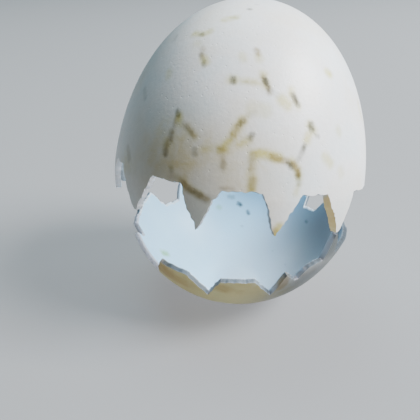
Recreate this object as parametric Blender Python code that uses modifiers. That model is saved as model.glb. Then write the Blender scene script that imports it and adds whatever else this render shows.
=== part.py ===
"""Cracked eggshell: an empty lower shell with a tilted upper shell standing on its rim.

Both pieces are thin walls turned from the two ends of one hen's egg.  The crack is cut through
each wall as a zigzag, given as (azimuth, height) corners on the egg, so that long pointed teeth
stay on the upper shell and shallow V notches in the lower one.  Metres, +Z up, the front at -Y.
"""
import math
import random

import bpy
import bmesh
from mathutils import Matrix, Vector

MM = 0.001

# Egg -------------------------------------------------------------------------------------------
EGG_RADIUS = 22.5 * MM          # half the greatest width
BLUNT_LENGTH = 25.8 * MM        # widest section to the lower, blunt end
POINTED_LENGTH = 29.4 * MM      # widest section to the upper, pointed end
POINTED_TAPER = 0.147           # how much slimmer than an ellipsoid the pointed end is
WALL = 0.95 * MM                # shell and membrane together
FLAT_RADIUS = 4.5 * MM          # small flat under the lower shell, to rest on

# Tilt of the upper shell about the centre of the egg --------------------------------------------
TILT_BACK = math.radians(-11.7)
TILT_RIGHT = math.radians(6.2)

# Mesh resolution --------------------------------------------------------------------------------
TURN_STEPS = 64
UPPER_ROWS = 16
LOWER_ROWS = 9
UPPER_SKIRT = 11.6 * MM         # wall left below the widest section, before the crack is cut
LOWER_SKIRT = 3.2 * MM          # wall of the lower shell stops this far below the widest section

# Crack ------------------------------------------------------------------------------------------
CRACK_STEP = 3.2                # degrees between the points along a cracked edge
CRACK_WAVER = 0.06 * MM         # unevenness of a cracked edge
CUT_INNER = 8.0 * MM
CUT_OUTER = 31.0 * MM
CUT_REACH = 20.0 * MM

# Corners of the upper shell's edge: azimuth in degrees, height above the widest section in mm.
UPPER_EDGE = (
    (-179.0, 1.0), (-173.0, -5.0), (-170.8, -5.0), (-161.5, 1.0), (-152.6, 0.9),
    (-142.2, -5.7), (-140.4, -5.7),
    (-129.9, 0.9), (-117.2, 0.7), (-110.2, -5.9), (-109.4, -5.9), (-101.3, 0.7),
    (-85.7, 1.0), (-79.1, -5.4), (-78.3, -5.4), (-70.1, 1.0),
    (-58.3, 1.0), (-46.6, -5.6), (-44.6, -5.6), (-40.3, 0.9), (-21.9, 0.7),
    (-6.0, 0.6), (9.5, -5.85), (11.5, -5.85), (22.0, 0.8), (37.0, 0.7),
    (55.0, -5.5), (60.0, -5.5), (70.0, 0.9), (84.0, 0.8), (92.0, -4.6), (94.0, -4.6),
    (102.0, 0.8), (108.0, 0.8), (114.0, -5.6), (119.0, -5.6), (128.0, 0.9), (146.0, 0.8),
    (156.0, -10.6), (158.5, -10.6), (164.0, 0.8), (169.5, -5.2), (171.5, -5.2), (178.5, 0.9),
)

# Corners of the lower shell's edge: azimuth in degrees, height above the blunt end in mm.
LOWER_EDGE = (
    (-178.5, 14.4), (-177.0, 12.3), (-173.5, 12.4), (-169.5, 13.9), (-159.0, 11.4), (-146.5, 9.0),
    (-131.3, 15.5), (-116.3, 14.6), (-108.8, 9.6), (-100.6, 14.5), (-84.7, 14.7), (-73.7, 9.65),
    (-70.3, 15.5), (-63.5, 13.1), (-59.0, 15.8), (-50.3, 16.2),
    (-48.0, 21.4), (-45.9, 21.4), (-41.5, 16.3), (-28.7, 16.3), (-8.0, 15.5), (4.0, 15.3),
    (9.0, 16.6), (14.0, 16.6), (19.0, 16.2), (25.4, 12.6), (35.2, 12.3), (35.5, 14.6),
    (50.0, 15.0), (66.0, 15.1), (74.0, 12.9), (84.0, 14.8), (98.0, 15.0), (106.0, 13.2),
    (113.0, 17.0), (121.0, 17.0), (127.4, 15.3), (131.5, 12.3), (144.0, 12.4),
    (152.0, 16.2), (155.0, 15.9), (163.0, 15.5), (170.0, 14.9),
)

LOWER_WHITE = (0.80, 0.84, 0.84, 1.0)
UPPER_WHITE = (0.83, 0.83, 0.81, 1.0)


def linked(obj, collection):
    """Put an object into a collection and hand it back."""
    collection.objects.link(obj)
    return obj


def egg_radius(height):
    """Outer radius of the egg at a height above its widest section."""
    if height >= 0.0:
        part = min(height / POINTED_LENGTH, 1.0)
        slim = 1.0 - 0.5 * POINTED_TAPER * part * (1.0 - part)
        return EGG_RADIUS * math.sqrt(1.0 - part * part) * slim
    part = min(-height / BLUNT_LENGTH, 1.0)
    return EGG_RADIUS * math.sqrt(1.0 - part * part)


FLAT_DROP = BLUNT_LENGTH * math.sqrt(1.0 - (FLAT_RADIUS / EGG_RADIUS) ** 2)
CENTRE_HEIGHT = FLAT_DROP       # the flat lies on the ground plane


def upper_profile():
    """Outer profile of the upper shell, from its tip down to its skirt."""
    low = -UPPER_SKIRT
    points = []
    for row in range(UPPER_ROWS + 1):
        angle = math.pi / 2.0 * (1.0 - row / UPPER_ROWS)
        height = POINTED_LENGTH * math.sin(angle)
        points.append((egg_radius(height), height))
    points[0] = (0.0, POINTED_LENGTH)
    for row in range(1, 5):
        height = low * row / 4.0
        points.append((egg_radius(height), height))
    return points


def lower_profile():
    """Outer profile of the lower shell, from its skirt down to the middle of its flat."""
    top = math.asin(LOWER_SKIRT / BLUNT_LENGTH)
    end = math.asin(FLAT_DROP / BLUNT_LENGTH)
    points = []
    for row in range(LOWER_ROWS + 1):
        height = -BLUNT_LENGTH * math.sin(top + (end - top) * row / LOWER_ROWS)
        points.append((egg_radius(height), height))
    points.append((FLAT_RADIUS * 0.5, -FLAT_DROP))
    points.append((0.0, -FLAT_DROP))
    return points


def turned_wall(name, profile, material, collection):
    """Turn a profile about Z and thicken the surface inwards into a closed wall."""
    mesh = bpy.data.meshes.new(name)
    verts = [(radius, 0.0, height) for radius, height in profile]
    mesh.from_pydata(verts, [(i, i + 1) for i in range(len(verts) - 1)], [])
    obj = linked(bpy.data.objects.new(name, mesh), collection)
    screw = obj.modifiers.new("turn", "SCREW")
    screw.axis = "Z"
    screw.angle = 2.0 * math.pi
    screw.steps = TURN_STEPS
    screw.render_steps = TURN_STEPS
    screw.use_merge_vertices = True
    screw.merge_threshold = 0.00001
    screw.use_smooth_shade = True
    wall = obj.modifiers.new("wall", "SOLIDIFY")
    wall.thickness = WALL
    wall.offset = -1.0
    wall.use_even_offset = True
    obj.data.materials.append(material)
    return obj


def along_edge(corners, zero, seed):
    """Points along a cracked edge, (azimuth, height), slightly uneven between its corners."""
    rng = random.Random(seed)
    points = []
    for index, (azimuth, height) in enumerate(corners):
        following = corners[(index + 1) % len(corners)]
        turn = following[0] - azimuth
        if index == len(corners) - 1:
            turn += 360.0
        rise = following[1] - height
        length = math.hypot(turn, rise * 2.6)
        pieces = max(1, round(length / CRACK_STEP))
        for piece in range(pieces):
            share = piece / pieces
            waver = rng.uniform(-CRACK_WAVER, CRACK_WAVER) if piece else 0.0
            level = (height + rise * share) * MM - zero + waver
            points.append((math.radians(azimuth + turn * share), level))
    return points


def edge_cutter(name, points, far_height, collection):
    """A ring with one jagged face that takes away everything beyond a cracked edge."""
    mesh = bpy.data.meshes.new(name)
    work = bmesh.new()
    rings = []
    for azimuth, height in points:
        out = Vector((math.cos(azimuth), math.sin(azimuth), 0.0))
        ring = []
        for radius, level in (
            (CUT_INNER, height),
            (CUT_OUTER, height),
            (CUT_OUTER, far_height),
            (CUT_INNER, far_height),
        ):
            ring.append(work.verts.new(out * radius + Vector((0.0, 0.0, level))))
        rings.append(ring)
    for index, ring in enumerate(rings):
        following = rings[(index + 1) % len(rings)]
        for side in range(4):
            other = (side + 1) % 4
            work.faces.new((ring[side], ring[other], following[other], following[side]))
    bmesh.ops.recalc_face_normals(work, faces=work.faces)
    bmesh.ops.triangulate(work, faces=work.faces)
    work.to_mesh(mesh)
    work.free()
    obj = linked(bpy.data.objects.new(name, mesh), collection)
    obj.hide_render = True
    obj.display_type = "WIRE"
    return obj


def crack(obj, cutter):
    """Cut the wall along its cracked edge."""
    cut = obj.modifiers.new("crack", "BOOLEAN")
    cut.operation = "DIFFERENCE"
    cut.solver = "EXACT"
    cut.object = cutter


def shell_material(name, colour):
    """Plain shell colour for a piece."""
    material = bpy.data.materials.new(name)
    material.use_nodes = True
    shader = material.node_tree.nodes["Principled BSDF"]
    shader.inputs["Base Color"].default_value = colour
    shader.inputs["Roughness"].default_value = 0.55
    return material


def main():
    """Build both shells."""
    for obj in list(bpy.data.objects):
        bpy.data.objects.remove(obj, do_unlink=True)
    scene = bpy.context.scene
    shells = bpy.data.collections.new("cracked_eggshell")
    cutters = bpy.data.collections.new("cutters")
    scene.collection.children.link(shells)
    scene.collection.children.link(cutters)
    cutters.hide_render = True

    centre = Matrix.Translation((0.0, 0.0, CENTRE_HEIGHT))
    tilt = Matrix.Rotation(TILT_RIGHT, 4, "Y") @ Matrix.Rotation(TILT_BACK, 4, "X")

    lower_white = shell_material("lower_shell", LOWER_WHITE)
    lower = turned_wall("lower_shell", lower_profile(), lower_white, shells)
    lower_line = along_edge(LOWER_EDGE, BLUNT_LENGTH, 11)
    lower_cut = edge_cutter("lower_cut", lower_line, CUT_REACH, cutters)
    crack(lower, lower_cut)
    lower.matrix_world = centre
    lower_cut.matrix_world = centre

    upper_white = shell_material("upper_shell", UPPER_WHITE)
    upper = turned_wall("upper_shell", upper_profile(), upper_white, shells)
    upper_line = along_edge(UPPER_EDGE, 0.0, 23)
    upper_cut = edge_cutter("upper_cut", upper_line, -CUT_REACH, cutters)
    crack(upper, upper_cut)
    upper.matrix_world = centre @ tilt
    upper_cut.matrix_world = centre @ tilt


main()
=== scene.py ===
"""Looks of a cracked hen's eggshell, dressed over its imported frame.

Two thin pieces of one white egg: a shallow lower shell and a tall upper shell that stands
tilted on its rim.  Each piece is rebuilt here as a fine mesh from the same sizes as its solid,
with a chipped, layered broken edge, and gets the finishes of a real shell: a chalky outside
with olive-brown streaks, a cool white membrane inside and a crystalline edge between them.
"""

import logging
import math
import random
from dataclasses import dataclass, field
from enum import Enum
from typing import Any, Optional, Sequence

import bpy
import numpy as np
from mathutils import Matrix, Vector


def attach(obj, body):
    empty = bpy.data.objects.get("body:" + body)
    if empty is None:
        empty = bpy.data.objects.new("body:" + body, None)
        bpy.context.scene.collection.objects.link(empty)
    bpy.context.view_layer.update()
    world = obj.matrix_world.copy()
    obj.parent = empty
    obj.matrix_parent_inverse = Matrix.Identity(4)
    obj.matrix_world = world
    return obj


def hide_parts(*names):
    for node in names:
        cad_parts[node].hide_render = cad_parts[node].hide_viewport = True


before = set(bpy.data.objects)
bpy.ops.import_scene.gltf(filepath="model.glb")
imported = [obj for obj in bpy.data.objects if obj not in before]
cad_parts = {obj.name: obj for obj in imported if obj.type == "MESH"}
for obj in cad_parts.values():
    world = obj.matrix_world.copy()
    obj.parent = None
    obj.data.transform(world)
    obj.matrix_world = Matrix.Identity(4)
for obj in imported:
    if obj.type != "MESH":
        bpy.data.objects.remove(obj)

LOG = logging.getLogger("cracked_eggshell")
MM = 0.001
Corner = tuple[float, float]  # azimuth and height
Span = tuple[float, float]  # where a range starts and stops
Face = tuple[int, ...]  # numbers of a face's points
Socket = bpy.types.NodeSocket


# --------------------------------------------------------------------------------------------
# Small helpers
# --------------------------------------------------------------------------------------------
def linear(code: str) -> tuple[float, float, float, float]:
    """Turn an sRGB hex code into a linear colour.

    Args:
        code: six hex digits after a hash.

    Returns:
        Red, green, blue and full opacity.
    """
    parts = [int(code[i : i + 2], 16) / 255.0 for i in (1, 3, 5)]
    red, green, blue = (c / 12.92 if c <= 0.04045 else ((c + 0.055) / 1.055) ** 2.4 for c in parts)
    return red, green, blue, 1.0


def per_mm(size: float) -> float:
    """Texture scale whose features are about a size in millimetres apart, on metre coordinates."""
    return 1.0 / (size * MM)


def add_node(
    tree: bpy.types.NodeTree,
    kind: str,
    settings: Optional[dict[str, Any]] = None,
    inputs: Optional[dict[Any, Any]] = None,
) -> bpy.types.Node:
    """Add a node with its settings and inputs.

    Args:
        tree: node tree that gets the node.
        kind: Blender's name for the node's type.
        settings: the node's own attributes.
        inputs: what feeds each input, by its name or number: an output socket, or a constant.

    Returns:
        The new node.
    """
    made = tree.nodes.new(kind)
    for name, setting in (settings or {}).items():
        setattr(made, name, setting)
    for name, source in (inputs or {}).items():
        if isinstance(source, Socket):
            tree.links.new(source, made.inputs[name])
        else:
            made.inputs[name].default_value = source
    return made


def set_stops(ramp: bpy.types.ColorRamp, stops: Sequence[tuple[float, str]]) -> None:
    """Give a new colour ramp its stops.

    Args:
        ramp: ramp, which starts with a stop at each end.
        stops: positions and sRGB hex codes, in order.
    """
    for element, (position, code) in zip(list(ramp.elements), (stops[0], stops[-1])):
        element.position = position
        element.color = linear(code)
    for position, code in stops[1:-1]:
        ramp.elements.new(position).color = linear(code)


def place(thing: bpy.types.Object) -> bpy.types.Object:
    """Put an object in the scene."""
    bpy.context.scene.collection.objects.link(thing)
    return thing


def smooth_step(low: float, high: float, value: np.ndarray) -> np.ndarray:
    """Ease from 0 at low to 1 at high."""
    part = np.clip((value - low) / (high - low), 0.0, 1.0)
    return part * part * (3.0 - 2.0 * part)


# --------------------------------------------------------------------------------------------
# The egg
# --------------------------------------------------------------------------------------------
class End(Enum):
    """The end of the egg that a piece comes from."""

    POINTED = 1
    BLUNT = -1


@dataclass(frozen=True)
class Meridian:
    """Outline of one face of the wall, from its pole to past the broken edge, in millimetres."""

    run: np.ndarray
    radius: np.ndarray
    height: np.ndarray
    normal_out: np.ndarray
    normal_up: np.ndarray

    def ring(self, run: np.ndarray, azimuth: np.ndarray) -> tuple[np.ndarray, np.ndarray]:
        """Points and normals of a ring.

        Args:
            run: distance from the pole in each column.
            azimuth: azimuth of each column, in radians.

        Returns:
            Points and unit normals, one row for each column.
        """
        run = np.broadcast_to(run, azimuth.shape)
        radius = np.interp(run, self.run, self.radius)
        height = np.interp(run, self.run, self.height)
        out = np.interp(run, self.run, self.normal_out)
        up = np.interp(run, self.run, self.normal_up)
        cos, sin = np.cos(azimuth), np.sin(azimuth)
        points = np.column_stack((radius * cos, radius * sin, height))
        normals = np.column_stack((out * cos, out * sin, up))
        return points, normals / np.linalg.norm(normals, axis=1)[:, None]

    def run_at(self, height: Any) -> np.ndarray:
        """Distances from the pole, along the outline, at heights above the widest section."""
        order = np.argsort(self.height)
        return np.interp(height, self.height[order], self.run[order])


@dataclass(frozen=True)
class EggForm:
    """Size and form of the whole egg, in millimetres.

    The two reaches say how far past the widest section an outline runs from each end.
    """

    radius: float = 22.5
    blunt: float = 25.8
    pointed: float = 29.4
    taper: float = 0.147
    flat_radius: float = 4.5
    wall: float = 0.95
    flat_softness: float = 0.03
    pointed_reach: float = 13.0
    blunt_reach: float = 1.5
    samples: int = 2400

    @property
    def flat_depth(self) -> float:
        """Depth of the resting flat below the widest section."""
        return self.blunt * math.sqrt(1.0 - (self.flat_radius / self.radius) ** 2)

    def radius_at(self, height: np.ndarray) -> np.ndarray:
        """Radius of the outside at a height, without the flat.

        Args:
            height: heights above the widest section.

        Returns:
            Radii.
        """
        up = height > 0.0
        part = np.clip(np.abs(height) / np.where(up, self.pointed, self.blunt), 0.0, 1.0)
        slim = np.where(up, 1.0 - 0.5 * self.taper * part * (1.0 - part), 1.0)
        return self.radius * np.sqrt(1.0 - part * part) * slim

    def normal(self, end: End, radius: np.ndarray, height: np.ndarray) -> tuple[np.ndarray, np.ndarray]:
        """Outward unit normal along an outline.

        Args:
            end: the end of the egg that the outline starts from.
            radius: radii along the outline.
            height: heights along the outline.

        Returns:
            The normal's parts away from the axis and up.
        """
        side = float(end.value)
        along_r, along_h = np.gradient(radius), np.gradient(height)
        length = np.hypot(along_r, along_h)
        return -side * along_h / length, side * along_r / length

    def meridian(self, end: End, inside: bool) -> Meridian:
        """Outline of one face of the wall.

        Args:
            end: the end of the egg that the outline starts from.
            inside: True for the inner face.

        Returns:
            The outline, from the pole past the broken edge.
        """
        side = float(end.value)
        reach = self.pointed_reach if end is End.POINTED else self.blunt_reach
        last = -side * math.asin(reach / self.blunt)
        angle = np.linspace(side * math.pi / 2.0, last, self.samples)
        height = np.where(angle > 0.0, self.pointed, self.blunt) * np.sin(angle)
        radius = self.radius_at(height)
        radius[0] = 0.0
        out, up = self.normal(end, radius, height)
        if inside:
            radius = radius - self.wall * out
            height = height - self.wall * up
            radius[0] = 0.0
        if end is End.BLUNT:
            floor = -self.flat_depth + (self.wall if inside else 0.0)
            height = floor + self.flat_softness * np.logaddexp(0.0, (height - floor) / self.flat_softness)
            out, up = self.normal(end, radius, height)
        run = np.concatenate(([0.0], np.cumsum(np.hypot(np.diff(radius), np.diff(height)))))
        facing = -1.0 if inside else 1.0
        return Meridian(run, np.maximum(radius, 0.0), height, facing * out, facing * up)


# --------------------------------------------------------------------------------------------
# The crack
# --------------------------------------------------------------------------------------------
@dataclass(frozen=True)
class Bevel:
    """A stretch of the edge that broke at a slant: azimuths in degrees, set-backs in mm."""

    start: float
    stop: float
    outside: float = 0.0
    membrane: float = 0.0
    fade_in: float = 2.0
    fade_out: float = 2.0

    def share_at(self, azimuth: np.ndarray) -> np.ndarray:
        """How far each azimuth, in degrees, lies inside the stretch, from 0 to 1."""
        into = smooth_step(0.0, self.fade_in, azimuth - self.start)
        return into * smooth_step(0.0, self.fade_out, self.stop - azimuth)


@dataclass(frozen=True)
class CrackLine:
    """A broken edge: corners as on the solid, then the unevenness and chips of a real break.

    Lengths are in millimetres.  The corners' heights start at zero, a depth below the widest
    section; into_shell is 1 where the shell lies above its edge and -1 where it lies below.
    """

    corners: tuple[Corner, ...]
    zero: float
    into_shell: float
    chips: int
    seed: int
    bevels: tuple[Bevel, ...] = ()
    creams: tuple[Span, ...] = ()
    # painted light: stretches whose break is painted pale
    painted_light_spans: tuple[Span, ...] = ()
    span_fade: float = 1.5
    step: float = 0.27
    least_step: float = 0.03
    mean_radius: float = 21.5
    wavelengths: tuple[float, ...] = (6.3, 2.7, 1.2, 0.7)
    heights: tuple[float, ...] = (0.036, 0.027, 0.021, 0.015)
    voices: int = 3
    chip_half_width: Span = (0.3, 0.8)
    chip_depth: Span = (0.08, 0.32)
    chip_fullness: float = 0.7
    flaking: float = 0.8
    least_flaking: float = 0.01
    tearing: float = 0.7
    hollow: float = 0.05
    roughness: float = 0.02

    def waver(self, count: int, rng: random.Random) -> np.ndarray:
        """Uneven offset that closes on itself.

        Args:
            count: number of points round the edge.
            rng: source of the phases.

        Returns:
            Offsets in millimetres.
        """
        turn = np.linspace(0.0, 2.0 * math.pi, count, endpoint=False)
        total = count * self.step
        offset = np.zeros(count)
        for wavelength, height in zip(self.wavelengths, self.heights):
            for extra in range(self.voices):
                shift = self.voices * extra + rng.randint(0, self.voices - 1)
                cycles = max(1, round(total / wavelength)) + shift
                offset += height * np.sin(cycles * turn + rng.uniform(0.0, 2.0 * math.pi))
        return offset

    def bites(self, count: int, rng: random.Random) -> np.ndarray:
        """Small chips knocked out of the edge.

        Args:
            count: number of points round the edge.
            rng: source of places and sizes.

        Returns:
            Depths in millimetres.
        """
        along = np.arange(count) * self.step
        total = count * self.step
        depth = np.zeros(count)
        for _ in range(self.chips):
            middle, half = rng.uniform(0.0, total), rng.uniform(*self.chip_half_width)
            apart = np.abs((along - middle + total / 2.0) % total - total / 2.0)
            bite = np.clip(1.0 - apart / half, 0.0, 1.0) ** self.chip_fullness
            depth += rng.uniform(*self.chip_depth) * bite
        return depth

    def middle(self) -> tuple[np.ndarray, np.ndarray, np.ndarray, np.ndarray]:
        """Dense points round the edge, before any unevenness.

        Returns:
            Distances round the shell and heights, and the unit normal of the edge line.
        """
        across: list[float] = []
        level: list[float] = []
        for index, (turn, height) in enumerate(self.corners):
            last = index == len(self.corners) - 1
            next_turn, next_height = self.corners[0 if last else index + 1]
            start = math.radians(turn) * self.mean_radius
            width = math.radians(next_turn + (360.0 if last else 0.0) - turn) * self.mean_radius
            pieces = max(1, round(math.hypot(width, next_height - height) / self.step))
            for piece in range(pieces):
                across.append(start + width * piece / pieces)
                level.append(height + (next_height - height) * piece / pieces)
        if len(across) % 2:  # the rings near the pole take every other point
            across.pop()
            level.pop()
        x, y = np.array(across), np.array(level)
        wide = 2.0 * math.pi * self.mean_radius
        along_x = (np.roll(x, -1) - np.roll(x, 1)) % wide
        along_y = np.roll(y, -1) - np.roll(y, 1)
        size = np.hypot(along_x, along_y)
        return x, y, -along_y / size, along_x / size

    def share_at(self, azimuth: np.ndarray, spans: Sequence[Span]) -> np.ndarray:
        """How far each azimuth lies inside stretches of the edge.

        Args:
            azimuth: azimuths in degrees.
            spans: first and last azimuth of each stretch.

        Returns:
            Shares from 0 to 1.
        """
        share = np.zeros(len(azimuth))
        for start, stop in spans:
            stretch = Bevel(start, stop, fade_in=self.span_fade, fade_out=self.span_fade)
            share += stretch.share_at(azimuth)
        return share

    def lines(self, layers: Sequence[float]) -> list[tuple[np.ndarray, np.ndarray]]:
        """The edge on each layer of the wall, from the outside to the membrane.

        Args:
            layers: depths into the wall, 0 outside and 1 inside.

        Returns:
            Azimuths in radians, always rising, and heights above the widest section.
        """
        x, y, normal_x, normal_y = self.middle()
        count = len(x)
        rng = random.Random(self.seed)
        shape = self.waver(count, rng) + self.into_shell * self.bites(count, rng)
        flaked = np.abs(self.waver(count, rng)) * self.flaking + self.least_flaking
        torn = np.abs(self.waver(count, rng)) * self.tearing
        grains = np.random.default_rng(self.seed)
        turn = np.degrees(x / self.mean_radius)
        rise = np.arange(count) * self.least_step
        made = []
        for layer in layers:
            offset = shape + self.into_shell * (flaked * (1.0 - layer) ** 2 - torn * layer**2)
            for bevel in self.bevels:
                back = bevel.outside * (1.0 - layer) + bevel.membrane * layer
                offset = offset + self.into_shell * back * bevel.share_at(turn)
            if 0.0 < layer < 1.0:
                offset = offset - self.into_shell * self.hollow * math.sin(math.pi * layer)
                offset = offset + grains.normal(0.0, self.roughness, count)
            azimuth = (np.maximum.accumulate(x + normal_x * offset - rise) + rise) / self.mean_radius
            made.append((azimuth, y + normal_y * offset - self.zero))
        return made


# Corners of the two edges, as (azimuth in degrees, height in mm): above the widest section on
# the upper piece, above the blunt pole on the lower one.
UPPER_CORNERS: tuple[Corner, ...] = (
    (-179.0, 1.0), (-173.0, -5.0), (-170.8, -5.0), (-161.5, 1.0), (-152.6, 0.9),
    (-142.2, -5.7), (-140.4, -5.7),
    (-129.9, 0.9), (-117.2, 0.7), (-110.2, -5.9), (-109.4, -5.9), (-101.3, 0.7),
    (-85.7, 1.0), (-79.1, -5.4), (-78.3, -5.4), (-70.1, 1.0),
    (-58.3, 1.0), (-46.6, -5.6), (-44.6, -5.6), (-40.3, 0.9), (-21.9, 0.7),
    (-6.0, 0.6), (9.5, -5.85), (11.5, -5.85), (22.0, 0.8), (37.0, 0.7),
    (55.0, -5.5), (60.0, -5.5), (70.0, 0.9), (84.0, 0.8), (92.0, -4.6), (94.0, -4.6),
    (102.0, 0.8), (108.0, 0.8), (114.0, -5.6), (119.0, -5.6), (128.0, 0.9), (146.0, 0.8),
    (156.0, -10.6), (158.5, -10.6), (164.0, 0.8), (169.5, -5.2), (171.5, -5.2), (178.5, 0.9),
)

LOWER_CORNERS: tuple[Corner, ...] = (
    (-178.5, 14.4), (-177.0, 12.3), (-173.5, 12.4), (-169.5, 13.9), (-159.0, 11.4), (-146.5, 9.0),
    (-131.3, 15.5), (-116.3, 14.6), (-108.8, 9.6), (-100.6, 14.5), (-84.7, 14.7), (-73.7, 9.65),
    (-70.3, 15.5), (-63.5, 13.1), (-59.0, 15.8), (-50.3, 16.2),
    (-48.0, 21.4), (-45.9, 21.4), (-41.5, 16.3), (-28.7, 16.3), (-8.0, 15.5), (4.0, 15.3),
    (9.0, 16.6), (14.0, 16.6), (19.0, 16.2), (25.4, 12.6), (35.2, 12.3), (35.5, 14.6),
    (50.0, 15.0), (66.0, 15.1), (74.0, 12.9), (84.0, 14.8), (98.0, 15.0), (106.0, 13.2),
    (113.0, 17.0), (121.0, 17.0), (127.4, 15.3), (131.5, 12.3), (144.0, 12.4),
    (152.0, 16.2), (155.0, 15.9), (163.0, 15.5), (170.0, 14.9),
)

# Stretches of the two edges whose break is painted pale, as first and last azimuth in degrees:
# painted light on faces that lie in shade.
UPPER_PAINTED_LIGHT: tuple[Span, ...] = ((-176.0, -152.0), (-141.0, -128.0))
LOWER_PAINTED_LIGHT: tuple[Span, ...] = (
    (-181.0, -130.0), (-109.5, -100.0), (-74.5, -69.5), (-64.2, -58.6), (-51.2, -46.9),
    (120.0, 133.0), (171.0, 183.0),
)


# --------------------------------------------------------------------------------------------
# Marks on the shell
# --------------------------------------------------------------------------------------------
class Stain(Enum):
    """Kinds of dried stroke, from the palest to the darkest."""

    YELLOW = 0
    BROWN = 1
    OLIVE = 2


class PatchKind(Enum):
    """Kinds of broad patch: khaki and rust stain, and soiling with painted shade; on the membrane, a wash
    of painted shade takes khaki's place.
    """

    KHAKI = 0
    PAINTED_SHADE_WASH = 0
    RUST = 1
    SOIL_AND_PAINTED_SHADE = 2


@dataclass(frozen=True)
class Stroke:
    """A dried stroke of stain: a path of (azimuth in degrees, height in mm) points on the wall."""

    stain: Stain
    depth: float
    width: float
    path: tuple[Corner, ...]


@dataclass(frozen=True)
class Patch:
    """A broad patch with a soft edge, for stain and for painted shade: azimuth in degrees, the rest in
    millimetres.
    """

    tint: PatchKind
    depth: float
    azimuth: float
    height: float
    across: float
    up: float


YELLOW, BROWN, OLIVE = Stain

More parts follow.
